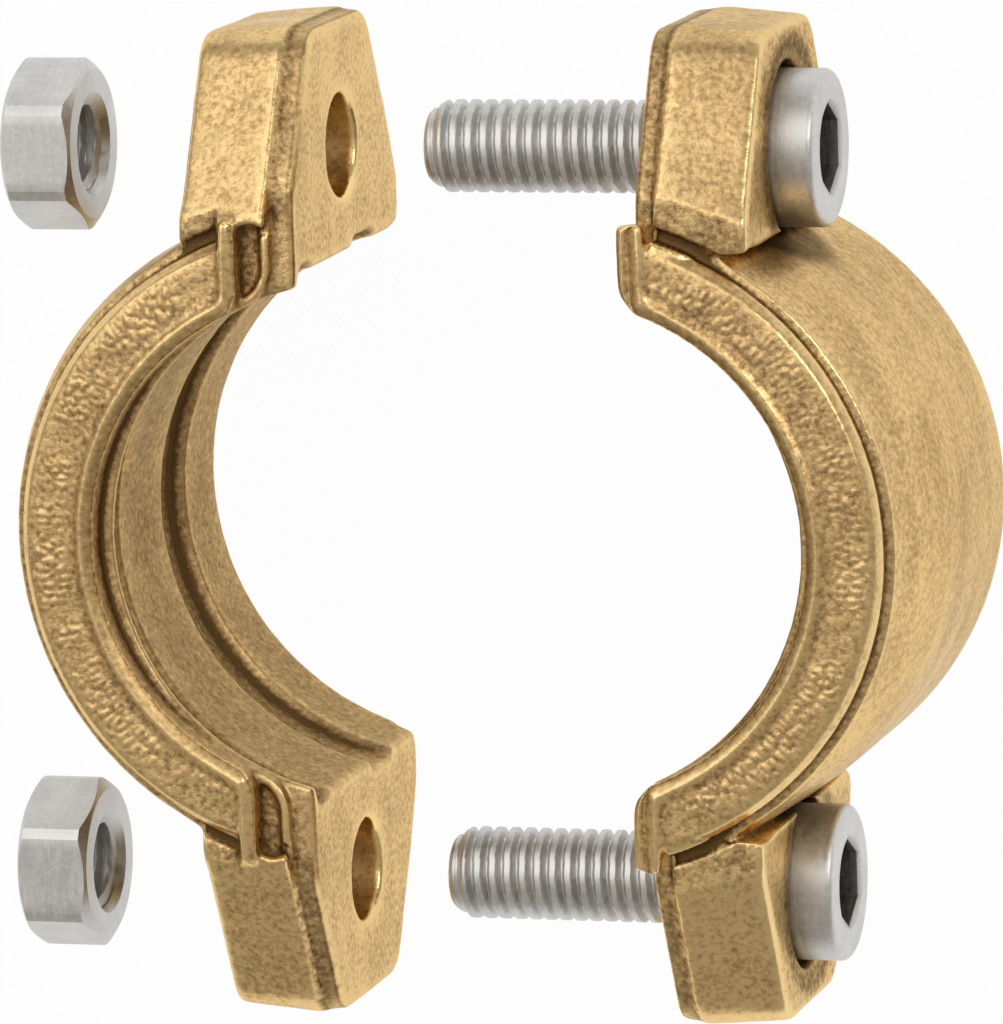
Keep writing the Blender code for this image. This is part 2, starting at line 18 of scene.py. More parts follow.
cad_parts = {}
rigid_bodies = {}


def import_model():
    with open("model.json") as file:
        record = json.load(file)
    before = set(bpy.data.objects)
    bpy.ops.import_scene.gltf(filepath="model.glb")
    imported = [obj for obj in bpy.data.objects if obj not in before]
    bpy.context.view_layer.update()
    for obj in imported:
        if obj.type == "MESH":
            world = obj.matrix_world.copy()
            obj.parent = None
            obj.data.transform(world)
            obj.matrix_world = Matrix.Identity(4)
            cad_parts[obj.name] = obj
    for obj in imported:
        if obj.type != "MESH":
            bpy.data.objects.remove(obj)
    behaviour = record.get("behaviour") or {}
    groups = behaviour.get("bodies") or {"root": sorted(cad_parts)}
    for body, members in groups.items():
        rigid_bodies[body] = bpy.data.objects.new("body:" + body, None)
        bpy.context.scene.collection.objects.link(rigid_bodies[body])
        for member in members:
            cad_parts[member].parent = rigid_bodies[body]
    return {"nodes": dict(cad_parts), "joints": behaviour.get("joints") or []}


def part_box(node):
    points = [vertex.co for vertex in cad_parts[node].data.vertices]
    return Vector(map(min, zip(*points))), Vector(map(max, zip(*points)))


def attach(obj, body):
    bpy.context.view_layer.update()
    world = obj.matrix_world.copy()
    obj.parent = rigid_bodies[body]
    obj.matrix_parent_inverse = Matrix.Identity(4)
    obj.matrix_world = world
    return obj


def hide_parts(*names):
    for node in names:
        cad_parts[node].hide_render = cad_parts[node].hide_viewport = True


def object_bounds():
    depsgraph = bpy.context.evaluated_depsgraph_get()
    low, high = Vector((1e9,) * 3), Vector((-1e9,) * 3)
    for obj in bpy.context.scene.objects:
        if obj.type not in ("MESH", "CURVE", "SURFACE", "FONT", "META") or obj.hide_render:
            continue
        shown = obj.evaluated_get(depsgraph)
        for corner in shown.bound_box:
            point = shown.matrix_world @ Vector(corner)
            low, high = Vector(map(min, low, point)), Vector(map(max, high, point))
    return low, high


bl_info = {
    "name": "Split Clamp",
    "version": (1, 0, 0),
    "blender": (4, 5, 0),
    "location": "3D View > Sidebar > Clamp",
    "description": "Dresses a brass split clamp with its screws and nuts and sets its stage",
    "category": "Object",
}

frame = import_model()
CAD_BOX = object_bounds()

SHELLS = ("screw_side_shell", "nut_side_shell")
SCREWS = ("upper_screw", "lower_screw")
NUTS = ("upper_nut", "lower_nut")

# From a ring's axis out to the shell's farthest point, how far each flange's tongue runs past its pads,
# and how far its bead stops short of them
RING_REACH = 0.02245
TONGUE = {"screw_side_shell": 0.0009, "nut_side_shell": 0.0}
LEDGE = {"screw_side_shell": 0.0, "nut_side_shell": 0.0034}

# The photograph's frame, and the camera that was fitted to it
PHOTO_HEIGHT = 1024
FOCAL_PIXELS = 9000.0
SENSOR = 36.0
CLIP_START = 0.01
CLIP_END = 20.0


def travel_of(node):
    """How far a nut moves along X from where it lies to its seat in the closed clamp."""
    total = 0.0
    child = node
    for joint in reversed(frame["joints"]):
        if joint["child"] == child and "range_m" in joint:
            total += joint["range_m"][1]
            child = joint["parent"]
    return total


class ShellLooks(bpy.types.PropertyGroup):
    """Sizes and colours of the brass shells."""
    voxel: FloatProperty(
        name="Voxel", description="Cell size of the mesh that a shell is pressed in", default=0.00014,
        min=0.0001, unit='LENGTH', precision=5)
    triangles: IntProperty(
        name="Triangles", description="Triangles that a finished shell keeps", default=190000, max=199000)
    wear: IntProperty(
        name="Edge wear", description="Smoothing passes over the whole shell", default=7, min=0)
    lug_wear: IntProperty(
        name="Lug wear", description="Smoothing passes over the lugs and the flanges' tips", default=20, min=0)
    lug_start: FloatProperty(
        name="Lug start", description="Distance from the clamp's middle where the lugs' wear sets in",
        default=0.0206, unit='LENGTH', precision=5)
    back_wear: IntProperty(
        name="Back wear", description="Smoothing passes along the back edges", default=60, min=0)
    shoulder_wear: IntProperty(
        name="Shoulder wear", description="Smoothing passes where the outside bends to the flange",
        default=200, min=0)
    tongue_wear: IntProperty(
        name="Tongue wear", description="Smoothing passes over the flange's tongue", default=30, min=0)
    swell: FloatProperty(
        name="Swell", description="Height of the broad unevenness of a pressing", default=0.00006,
        unit='LENGTH', precision=6)
    grain: FloatProperty(
        name="Grain", description="Height of the fine grain in the metal's skin", default=0.00003,
        unit='LENGTH', precision=6)
    pebble_height: FloatProperty(
        name="Pebble height", description="Height of the pebbles on the flanges' sunk bands",
        default=0.00009, unit='LENGTH', precision=6)
    pebble_width: FloatProperty(
        name="Pebble width", description="Size of a pebble along the band", default=0.0005,
        unit='LENGTH', precision=5)
    pebble_length: FloatProperty(
        name="Pebble length", description="Size of a pebble across the band", default=0.0010,
        unit='LENGTH', precision=5)
    bead_slope: FloatProperty(
        name="Bead slope", description="Drop of a flange's bead from its crest to its inner side",
        default=0.00032, unit='LENGTH', precision=6)
    foot_step: FloatProperty(
        name="Foot step", description="Drop from a flange's bead to the lugs' feet beside it", default=0.0015,
        unit='LENGTH', precision=5)
    seam: FloatProperty(
        name="Seam", description="Depth of the fine groove under a flange's edge", default=0.00025,
        unit='LENGTH', precision=6)
    # Bright brass also gives the painted highlight on convex edges and on the outside.
    bright: FloatVectorProperty(
        name="Bright brass", description="Colour of rubbed edges", subtype='COLOR',
        default=(0.95, 0.71, 0.34))
    brass: FloatVectorProperty(
        name="Brass", description="Colour of the plain metal", subtype='COLOR',
        default=(0.76, 0.51, 0.235))
    # This colour also gives the painted shade in hollows, recesses and the bore.
    tarnish_and_shade: FloatVectorProperty(
        name="Tarnish", description="Colour of the metal in hollows", subtype='COLOR',
        default=(0.15, 0.085, 0.03))
    rim: FloatVectorProperty(
        name="Rim tint", description="Colour of the metal seen at a slant", subtype='COLOR',
        default=(0.96, 0.86, 0.67))


class HardwareLooks(bpy.types.PropertyGroup):
    """Sizes and colour of the steel screws and nuts."""
    columns: IntProperty(
        name="Columns", description="Faces round a turned piece", default=96, min=12)
    rows_per_pitch: IntProperty(
        name="Rows per pitch", description="Faces along one turn of thread", default=14, min=4)
    pitch: FloatProperty(
        name="Pitch", description="Advance of the thread in one turn", default=0.001,
        unit='LENGTH', precision=5)
    crest: FloatProperty(
        name="Thread crest", description="Radius of a screw's thread at its crest", default=0.00295,
        unit='LENGTH', precision=5)
    depth: FloatProperty(
        name="Thread depth", description="Height of the thread from root to crest", default=0.00054,
        unit='LENGTH', precision=6)
    nut_play: FloatProperty(
        name="Thread play", description="Gap between a nut's thread and its screw's", default=0.0001,
        unit='LENGTH', precision=6)
    socket: FloatProperty(
        name="Socket", description="Width of a screw's hexagon socket across flats", default=0.005,
        unit='LENGTH', precision=5)
    socket_depth: FloatProperty(
        name="Socket depth", description="Depth of a screw's hexagon socket", default=0.003,
        unit='LENGTH', precision=5)
    countersink: FloatProperty(
        name="Countersink", description="Radius of the mouth of a nut's hole", default=0.00335,
        unit='LENGTH', precision=5)
    edge: FloatProperty(
        name="Head edge", description="Radius of the rounded edge of a screw's head", default=0.0005,
        unit='LENGTH', precision=5)
    steel: FloatVectorProperty(
        name="Steel", description="Colour of the stainless steel", subtype='COLOR',
        default=(0.60, 0.595, 0.58))


class StageLooks(bpy.types.PropertyGroup):
    """Floor, light and camera."""
    floor: FloatVectorProperty(
        name="Floor", description="Colour of the floor", subtype='COLOR', default=(0.93, 0.93, 0.92))
    floor_glow: FloatProperty(
        name="Floor glow", description="Share of plain white in the floor as it is seen and mirrored",
        default=0.97, min=0.0, max=1.0, subtype='FACTOR')
    world: FloatProperty(
        name="World", description="Level of the even light from all round", default=0.41)
    room: FloatVectorProperty(
        name="Room", description="Colour of the even light from all round", subtype='COLOR',
        default=(1.0, 0.95, 0.86))
    floor_reach: FloatProperty(
        name="Floor reach", description="From the middle of the floor to its sides", default=3.0,
        unit='LENGTH')
    key: FloatProperty(
        name="Key", description="Power of the main light", default=0.55, unit='POWER')
    key_place: FloatVectorProperty(
        name="Key place", description="Where the main light stands", subtype='TRANSLATION',
        unit='LENGTH', default=(0.34, 0.26, 0.34))
    key_size: FloatProperty(
        name="Key size", description="Side of the main light's square", default=0.16, unit='LENGTH')
    key_colour: FloatVectorProperty(
        name="Key colour", description="Colour of the main light", subtype='COLOR',
        default=(1.0, 0.98, 0.95))
    overhead: FloatProperty(
        name="Overhead", description="Power of the wide light overhead", default=1.38, unit='POWER')
    overhead_place: FloatVectorProperty(
        name="Overhead place", description="Where the wide light hangs", subtype='TRANSLATION',
        unit='LENGTH', default=(-0.18, 0.28, 0.49))
    overhead_size: FloatProperty(
        name="Overhead size", description="Side of the wide light's square", default=0.60, unit='LENGTH')
    overhead_colour: FloatVectorProperty(
        name="Overhead colour", description="Colour of the wide light", subtype='COLOR',
        default=(1.0, 1.0, 1.0))
    target: FloatVectorProperty(
        name="Camera target", description="Point that the camera looks at", subtype='TRANSLATION',
        unit='LENGTH', default=(0.000825, -0.000014, 0.0135))
    turn: FloatProperty(
        name="Camera turn", description="Camera's swing from the bore axis towards +X",
        default=math.radians(16.15), unit='ROTATION')
    rise: FloatProperty(
        name="Camera rise", description="Camera's swing from the bore axis towards +Y",
        default=math.radians(9.914), unit='ROTATION')
    roll: FloatProperty(
        name="Camera roll", description="Camera's turn about its own line of sight",
        default=math.radians(-1.885), unit='ROTATION')
    distance: FloatProperty(
        name="Camera distance", description="From the camera to the middle of the layout",
        default=0.57408, unit='LENGTH')


class Wire:
    """A node's output that can stand in a Python expression."""

    def __init__(self, net, socket):
        self.net = net
        self.socket = socket

    def _math(self, operation, first, second=None):
        values = [first] if second is None else [first, second]
        return self.net.node("ShaderNodeMath", {"operation": operation}, dict(enumerate(values)))

    def __add__(self, other):
        return self._math('ADD', self, other)

    def __radd__(self, other):
        return self._math('ADD', other, self)

    def __sub__(self, other):
        return self._math('SUBTRACT', self, other)

    def __rsub__(self, other):
        return self._math('SUBTRACT', other, self)

    def __mul__(self, other):
        return self._math('MULTIPLY', self, other)

    def __truediv__(self, other):
        return self._math('DIVIDE', self, other)

    def __mod__(self, other):
        return self._math('FLOORED_MODULO', self, other)

    def __abs__(self):
        return self._math('ABSOLUTE', self)

    def floor(self):
        return self._math('FLOOR', self)

    def sine(self):
        return self._math('SINE', self)

    def cosine(self):
        return self._math('COSINE', self)

    def angle_over(self, other):
        return self._math('ARCTAN2', self, other)

    def least(self, other):
        return self._math('MINIMUM', self, other)

    def most(self, other):
        return self._math('MAXIMUM', self, other)

    def clamped(self):
        return self.net.node("ShaderNodeClamp", {}, {"Value": self})

    def stepped(self, low, high):
        """0 below low, 1 above high and a soft step between."""
        return self.net.node("ShaderNodeMapRange", {"interpolation_type": 'SMOOTHSTEP'},
                             {"Value": self, "From Min": low, "From Max": high})

    def between(self, start, end):
        """1 between two soft steps, each a pair of its low and its high side."""
        return self.stepped(*start) - self.stepped(*end)

    def hump(self, middle, half):
        """1 at the middle, falling softly to 0 at half a width from it."""
        return 1.0 - abs(self - middle).stepped(0.0, half)


class Net:
    """A node tree that is being wired, of shaders or of geometry."""

    def __init__(self, tree):
        self.tree = tree

    def node(self, kind, settings, inputs, output=0):
        """Add one node: its settings first, then the values or links of its sockets."""
        made = self.tree.nodes.new(kind)
        for name, value in settings.items():
            setattr(made, name, value)
        for name, value in inputs.items():
            socket = made.inputs[name]
            if isinstance(value, Wire):
                self.tree.links.new(value.socket, socket)
            else:
                socket.default_value = value
        return Wire(self, made.outputs[output])


def blended(net, share, first, second):
    """Mix of two colours."""
    return net.node("ShaderNodeMix", {"data_type": 'RGBA'}, {0: share, 6: first, 7: second}, 2)


def shader_net(name):
    """An empty material with its net and its shader's node."""
    material = bpy.data.materials.new(name)
    material.use_nodes = True
    tree = material.node_tree
    return material, Net(tree), tree.nodes["Principled BSDF"]


def feed(net, shader, name, value):
    """Set a shader's socket, or link to it."""
    if isinstance(value, Wire):
        net.tree.links.new(value.socket, shader.inputs[name])
    else:
        shader.inputs[name].default_value = value


# Noises of the finishes and of the skin: scale, detail and, where it isn't the usual, roughness
CLOUD_NOISE = (190.0, 3.0)
MOTTLE_NOISE = (900.0, 4.0, 0.6)
FINE_NOISE = (2600.0, 3.0, 0.6)
REFLECTION_STREAK_STRETCH = (110.0, 110.0, 330.0)
STRETCHED_NOISE = (1.0, 3.0)
BROAD_NOISE = {"Scale": 38.0, "W": 29.25, "Detail": 1.0}
TURNING_STRETCH = (5000.0, 420.0, 420.0)
SPECK_NOISE = (2600.0, 3.0)
STEEL_CLOUD_NOISE = (420.0, 4.0)
PATCH_NOISE = (260.0, 1.0)
SWELL_NOISE = (130.0, 3.0)
GRAIN_NOISE = (1100.0, 2.0)


def noise_wire(net, place, scale, detail=4.0, roughness=0.55):
    """Noise from 0 to 1."""
    return net.node("ShaderNodeTexNoise", {},
                    {"Vector": place, "Scale": scale, "Detail": detail, "Roughness": roughness})


def uneven_wire(net, place, *noise):
    """Noise that runs as far below 0 as above it."""
    return noise_wire(net, place, *noise) - 0.5


def mark_wire(net, name):
    """One of the numbers that a mesh carries for each of its points."""
    return net.node("ShaderNodeAttribute", {"attribute_name": name}, {}, "Fac")


def brass_finish(looks):
    """Pressed brass: mottled, with a fine grain; painted highlight on its edges and outside, and painted
    shade, partly patina, in its hollows and bore.
    """
    material, net, shader = shader_net("pressed_brass")
    place = net.node("ShaderNodeTexCoord", {}, {}, "Object")
    cloud = uneven_wire(net, place, *CLOUD_NOISE)
    mottle = uneven_wire(net, place, *MOTTLE_NOISE)
    fine = uneven_wire(net, place, *FINE_NOISE)
    hollow, edge, bore, outside = (mark_wire(net, name) for name in ("hollow", "edge", "bore", "outside"))
    # Stretched noise on the outside and parting faces: painted reflections of dark surroundings.
    reflection_streak_place = net.node("ShaderNodeMapping", {}, {"Vector": place, "Scale": REFLECTION_STREAK_STRETCH})
    reflection_streaks = uneven_wire(net, reflection_streak_place, *STRETCHED_NOISE)
    broad = net.node("ShaderNodeTexNoise", {"noise_dimensions": '4D'},
                     {"Vector": place, **BROAD_NOISE}) - 0.5
    calm = (1.0 - outside * 0.5 - bore * 0.5) * (1.0 - edge * 0.6)
    patches = (cloud * 0.5 + mottle * 0.45 + fine * 2.2) * calm + reflection_streaks * outside * 0.5
    # Painted shade from the hollow and bore marks, mixed with patina from the mottled patches.
    shade_and_tarnish = hollow * 1.05 + bore * 0.38 - edge * 0.5 - patches * (1.3 - hollow * 0.7) + broad * 0.3
    shade_and_tarnish = (shade_and_tarnish + outside * 0.03 + 0.13).clamped()
    # Painted highlight from the edge and outside marks, mixed with lighter mottled patches.
    highlight_and_rub = (edge * 0.8 + patches * 1.1 + outside * 0.25 - broad * 0.5).clamped()
    colour = blended(net, highlight_and_rub, (*looks.brass, 1.0), (*looks.bright, 1.0))
    colour = blended(net, shade_and_tarnish, colour, (*looks.tarnish_and_shade, 1.0))
    feed(net, shader, "Base Color", colour)
    feed(net, shader, "Metallic", 1.0)
    feed(net, shader, "Specular Tint", (*looks.rim, 1.0))
    feed(net, shader, "Roughness", (0.38 + fine * 0.4 + shade_and_tarnish * 0.2 - highlight_and_rub * 0.1 - outside * 0.06).clamped())
    bump = net.node("ShaderNodeBump", {}, {"Strength": 0.45, "Distance": 0.0001,
                                           "Height": (fine + mottle * 0.5) * calm})
    feed(net, shader, "Normal", bump)
    return material


def steel_finish(looks):
    """Satin stainless steel with faint turning marks and specks, and painted shade inside its holes and thread
    roots.
    """
    material, net, shader = shader_net("satin_steel")
    place = net.node("ShaderNodeTexCoord", {}, {}, "Object")
    stretched = net.node("ShaderNodeMapping", {}, {"Vector": place, "Scale": TURNING_STRETCH})
    marks = uneven_wire(net, stretched, *STRETCHED_NOISE)
    specks = uneven_wire(net, place, *SPECK_NOISE)
    cloud = uneven_wire(net, place, *STEEL_CLOUD_NOISE)
    # The hollow mark is painted shade inside the holes and thread roots.
    hollow = mark_wire(net, "hollow")
    tone = (0.80 + cloud * 0.3 + marks * 0.3 + specks * 0.35 - hollow).clamped()
    dark = tuple(0.08 * part for part in looks.steel)
    light = tuple(min(1.0, 1.4 * part) for part in looks.steel)
    feed(net, shader, "Base Color", blended(net, tone, (*dark, 1.0), (*light, 1.0)))
    feed(net, shader, "Metallic", 1.0)
    feed(net, shader, "Roughness", (0.45 + marks * 0.2 + specks * 0.2 + hollow * 0.2).clamped())
    bump = net.node("ShaderNodeBump", {}, {"Strength": 0.35, "Distance": 0.00003,
                                           "Height": marks * 0.8 + specks})
    feed(net, shader, "Normal", bump)
    return material


def evaluated_copy(item, name):
    """A plain mesh object from an object with its modifiers."""
    graph = bpy.context.evaluated_depsgraph_get()
    mesh = bpy.data.meshes.new_from_object(item.evaluated_get(graph))
    mesh.name = name
    made = bpy.data.objects.new(name, mesh)
    bpy.context.scene.collection.objects.link(made)
    return made


def discard(item):
    """Take a working object and its mesh out of the file."""
    mesh = item.data
    bpy.data.objects.remove(item)
    bpy.data.meshes.remove(mesh)


def merged_copy(node):
    """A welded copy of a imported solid."""
    mesh = frame["nodes"][node].data.copy()
    work = bmesh.new()
    work.from_mesh(mesh)
    bmesh.ops.remove_doubles(work, verts=work.verts, dist=1e-6)
    work.to_mesh(mesh)
    work.free()
    mesh.materials.clear()
    copy = bpy.data.objects.new(node + "_copy", mesh)
    bpy.context.scene.collection.objects.link(copy)
    return copy


def open_tree(name, inputs):
    """A new node tree with geometry in and out: its net, and its inputs by name."""
    tree = bpy.data.node_groups.new(name, 'GeometryNodeTree')
    tree.interface.new_socket("Geometry", in_out='INPUT', socket_type='NodeSocketGeometry')
    for label, kind in inputs:
        tree.interface.new_socket(label, in_out='INPUT', socket_type=kind)
    tree.interface.new_socket("Geometry", in_out='OUTPUT', socket_type='NodeSocketGeometry')
    net = Net(tree)
    source = tree.nodes.new("NodeGroupInput")
    return net, {socket.name: Wire(net, socket) for socket in source.outputs if socket.name}


def close_tree(net, geometry, finish):
    """End a node tree with real geometry that has its finish."""
    real = net.node("GeometryNodeRealizeInstances", {}, {"Geometry": geometry})
    done = net.node("GeometryNodeSetMaterial", {}, {"Geometry": real, "Material": finish})
    sink = net.tree.nodes.new("NodeGroupOutput")
    net.tree.links.new(done.socket, sink.inputs["Geometry"])
    return net.tree


def add_tree(item, tree, values):
    """Put a node tree on an object, with its inputs set."""
    step = item.modifiers.new(tree.name, 'NODES')
    step.node_group = tree
    for socket in tree.interface.items_tree:
        if socket.in_out == 'INPUT' and socket.name in values:
            step[socket.identifier] = values[socket.name]


def part_wire(net, vector, axis):
    """One coordinate of a vector."""
    return net.node("ShaderNodeSeparateXYZ", {}, {"Vector": vector}, axis)


def vector_wire(net, operation, first, second):
    """A sum or difference of two vectors."""
    return net.node("ShaderNodeVectorMath", {"operation": operation}, {0: first, 1: second})


def mixed_places(net, share, first, second):
    """Mix of two places."""
    return net.node("ShaderNodeMix", {"data_type": 'VECTOR'}, {0: share, 4: first, 5: second}, 1)


def dot_wire(net, first, second):
    """Dot product of two vectors."""
    return net.node("ShaderNodeVectorMath", {"operation": 'DOT_PRODUCT'}, {0: first, 1: second}, "Value")


def marked(net, geometry, name, value):
    """Write a number from 0 to 1 on each point."""
    return net.node("GeometryNodeStoreNamedAttribute", {"data_type": 'FLOAT', "domain": 'POINT'},
                    {"Geometry": geometry, "Name": name, "Value": value.clamped()})


def smooth_by_angle(mesh, degrees):
    """Smooth a mesh, but for its edges that are sharper than an angle."""
    mesh.shade_smooth()
    mesh.set_sharp_from_angle(angle=math.radians(degrees))


def dress(piece, node, material):
    """Hand a finished piece to the frame in place of its node."""
    piece.data.materials.clear()
    piece.data.materials.append(material)
    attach(piece, node)
    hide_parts(node)


SKIN_INPUTS = (
    ("Wear", "NodeSocketInt"), ("Lug Wear", "NodeSocketInt"), ("Back Wear", "NodeSocketInt"),
    ("Tongue Wear", "NodeSocketInt"), ("Shoulder Wear", "NodeSocketInt"), ("Ledge", "NodeSocketFloat"),
    ("Lug Start", "NodeSocketFloat"), ("Cell", "NodeSocketFloat"), ("Swell", "NodeSocketFloat"),
    ("Grain", "NodeSocketFloat"), ("Pebble Height", "NodeSocketFloat"),
    ("Pebble Width", "NodeSocketFloat"), ("Pebble Length", "NodeSocketFloat"),
    ("Bead Slope", "NodeSocketFloat"), ("Foot Step", "NodeSocketFloat"), ("Seam", "NodeSocketFloat"),
    ("Front", "NodeSocketFloat"), ("Axis", "NodeSocketFloat"), ("Parting", "NodeSocketFloat"),
    ("Side", "NodeSocketFloat"), ("Screw", "NodeSocketVector"), ("Finish", "NodeSocketMaterial"),
)

# Smoothing passes over which a point's depth in a hollow is measured, from narrow to broad, and their gain
CREASE_PASSES = (10, 70, 500)
CREASE_GAIN = 3.5

# Zones of a shell. Aside is a point's distance from the clamp's middle, below its depth under the flange's
# front, past its distance behind the parting face and radius its distance from the ring's axis, in metres.
# Each pair is where a soft step starts and ends, or, in a line, the middle of a hump and half its width.
LUG_FADE = 0.0012
TIP_ASIDE = (0.0186, 0.0198)
TIP_BELOW = (0.0012, 0.0017)
TONGUE_PAST = (-0.0003, 0.0005)
TONGUE_BELOW = (0.0020, 0.0030)
SHOULDER_RADIUS = (0.0202, 0.0205)
SHOULDER_LINE = (0.0032, 0.0024)
SHOULDER_ASIDE = (0.0175, 0.0190)
BACK_HEIGHT = (0.0015, 0.0040)
LIP_SHIFT = 0.0005
LIP_RADIUS = 0.0158
BEAD_WIDTH = 0.0010
BEAD_ACROSS = (0.0, 0.9)
BEAD_BELOW = (0.0002, 0.0004)
FEET_RADIUS = (0.0201, 0.0204)
FEET_PAST = (0.0011, 0.0016)
BAND_FACING = (0.93, 0.985)
BAND_TOP = (0.00022, 0.00032)
BAND_FLOOR = (0.0005, 0.0006)
BAND_INNER = (0.0169, 0.0174)
BAND_OUTER = (0.0189, 0.0194)
BAND_ASIDE = (0.0160, 0.0178)
BAND_MIDDLE = 0.018
PEBBLE_WALL = (0.03, 0.22)
PEBBLE_PATCHES = (0.35, 0.6)
SEAM_LINE = (0.0015, 0.0004)
SEAM_INNER = (0.0196, 0.0200)
SEAM_OUTER = (0.0208, 0.0212)

# Zones of painted shade and painted highlight, in the same terms
PAD_LINE = (0.00145, 0.0004)
PARTING_LINE = (0.0002, 0.0003)
FLANK_PAST = (0.0013, 0.0018)
FLANK_ASIDE = (0.0200, 0.0208)
FLANK_FACING = (0.4, 0.9)
RECESS_SHADE_INNER = (0.0040, 0.0050)
RECESS_SHADE_OUTER = (0.0066, 0.0080)
RECESS_SHADE_PAST = (0.0030, 0.0042)
FOOT_LINE = (0.0193, 0.0020)
FOOT_START = (0.0050, 0.0068)
FOOT_END = (0.0100, 0.0120)
CHANNEL_SHARE = 0.8
CHANNEL_HALF = 0.0011
CHANNEL_LEDGE = (0.0, 0.001)
CHANNEL_LINE = (0.0019, 0.0009)
CHANNEL_ASIDE = (0.0140, 0.0155)
BORE_FACING = (0.15, 0.5)
BORE_RADIUS = (0.018, 0.0187)
GROOVE_LINE = (0.0043, 0.0019)
GROOVE_ASIDE = (0.0125, 0.0160)
SEAM_SHADE_INNER = (0.0198, 0.0202)
SEAM_SHADE_OUTER = (0.0206, 0.0209)
HOLE_RADIUS = (0.0034, 0.0037)
OUTSIDE_FACING = (0.3, 0.6)
OUTSIDE_RADIUS = (0.0193, 0.0198)
PARTING_FACING = (0.9, 0.98)
PARTING_PAST = (0.0002, 0.0004)


class SkinPoint:
    """What the skin's tree measures at each point of a shell."""

    def __init__(self, net, given):
        self.net = net
        self.given = given
        self.place = net.node("GeometryNodeInputPosition", {}, {})
        self.normal = net.node("GeometryNodeInputNormal", {}, {})
        x, self.y, self.z = (part_wire(net, self.place, axis) for axis in "XYZ")
        self.aside = abs(self.y)
        self.along = (x - given["Axis"]) * given["Side"]
        self.spoke = net.node("ShaderNodeCombineXYZ", {}, {"X": self.along * given["Side"], "Y": self.y})
        self.radius = net.node("ShaderNodeVectorMath", {"operation": 'LENGTH'}, {0: self.spoke}, "Value")
        self.below = given["Front"] - self.z
        self.past = (x - given["Parting"]) * given["Side"]
        self.shoulder = (self.radius.stepped(*SHOULDER_RADIUS) * self.below.hump(*SHOULDER_LINE)
                         * (1.0 - self.aside.stepped(*SHOULDER_ASIDE)))

    def blurred(self, passes):
        """The point's place, evened out with its neighbours'."""
        return self.net.node("GeometryNodeBlurAttribute", {"data_type": 'FLOAT_VECTOR'},
                             {"Value": self.place, "Iterations": passes, "Weight": 1.0})

    def reach(self, first, second):
        """Distance that two square steps lead to."""
        flat = self.net.node("ShaderNodeCombineXYZ", {}, {"X": first, "Y": second})
        return self.net.node("ShaderNodeVectorMath", {"operation": 'LENGTH'}, {0: flat}, "Value")

    def moved(self, skin, offset):
        """The skin with its points moved by an offset."""
        return self.net.node("GeometryNodeSetPosition", {}, {"Geometry": skin, "Offset": offset})


def worn_skin(spot):
    """The shell with its edges worn round, more in some zones than in others."""
    given = spot.given
    on_lug = spot.aside.stepped(given["Lug Start"], given["Lug Start"] + LUG_FADE)
    on_tip = spot.aside.stepped(*TIP_ASIDE) * (1.0 - spot.below.stepped(*TIP_BELOW))
    on_tongue = (1.0 - spot.past.stepped(*TONGUE_PAST)) * (1.0 - spot.below.stepped(*TONGUE_BELOW))
    at_back = 1.0 - spot.z.stepped(*BACK_HEIGHT)
    worn = spot.blurred(given["Wear"])
    for name, share in (("Lug Wear", on_lug.most(on_tip)), ("Tongue Wear", on_tongue),
                        ("Back Wear", at_back), ("Shoulder Wear", spot.shoulder)):
        worn = mixed_places(spot.net, share, worn, spot.blurred(given[name]))
    return spot.net.node("GeometryNodeSetPosition", {}, {"Geometry": given["Geometry"], "Position": worn})


def lowered_skin(spot, skin):
    """The shell with its bead sloped, and the lugs' feet set below it."""
    given = spot.given
    behind = spot.past - given["Ledge"]
    inner = (spot.reach(spot.along + LIP_SHIFT, spot.y) - LIP_RADIUS).least(behind) / BEAD_WIDTH
    bead = (1.0 - inner.stepped(*BEAD_ACROSS)) * (1.0 - spot.below.stepped(*BEAD_BELOW))
    beside = spot.radius.stepped(*FEET_RADIUS) * behind.stepped(*FEET_PAST)
    drop = bead * given["Bead Slope"] + (given["Foot Step"] - spot.below).most(0.0) * beside
    return spot.moved(skin, spot.net.node("ShaderNodeCombineXYZ", {}, {"Z": 0.0 - drop}))


def pebbles_wire(spot):
    """Height of the pebbles on the flanges' sunk bands."""
    net, given = spot.net, spot.given
    upward = part_wire(net, spot.normal, "Z").stepped(*BAND_FACING)
    sunk = spot.below.between(BAND_TOP, BAND_FLOOR)
    across = spot.radius.between(BAND_INNER, BAND_OUTER)
    band = upward * sunk * across * (1.0 - spot.aside.stepped(*BAND_ASIDE))
    angle = spot.y.angle_over(spot.along)
    cells = net.node("ShaderNodeCombineXYZ", {}, {"X": angle * BAND_MIDDLE / given["Pebble Width"],
                                                  "Y": spot.radius / given["Pebble Length"]})
    pebbles = net.node("ShaderNodeTexVoronoi", {"voronoi_dimensions": '2D', "feature": 'DISTANCE_TO_EDGE'},
                       {"Vector": cells, "Scale": 1.0, "Randomness": 0.9}, "Distance")
    patchy = noise_wire(net, spot.place, *PATCH_NOISE).stepped(*PEBBLE_PATCHES)
    return pebbles.stepped(*PEBBLE_WALL) * patchy * band * given["Pebble Height"]


def grained_skin(spot, skin):
    """The shell with an uneven skin, pebbled bands and a seam under the flange's edge."""
    net, given = spot.net, spot.given
    height = (uneven_wire(net, spot.place, *SWELL_NOISE) * 2.0 * given["Swell"]
              + uneven_wire(net, spot.place, *GRAIN_NOISE) * 2.0 * given["Grain"]
              + pebbles_wire(spot)
              - spot.below.hump(*SEAM_LINE) * spot.radius.between(SEAM_INNER, SEAM_OUTER) * given["Seam"])
    lift = net.node("ShaderNodeVectorMath", {"operation": 'SCALE'}, {0: spot.normal, "Scale": height})
    return spot.moved(skin, lift)


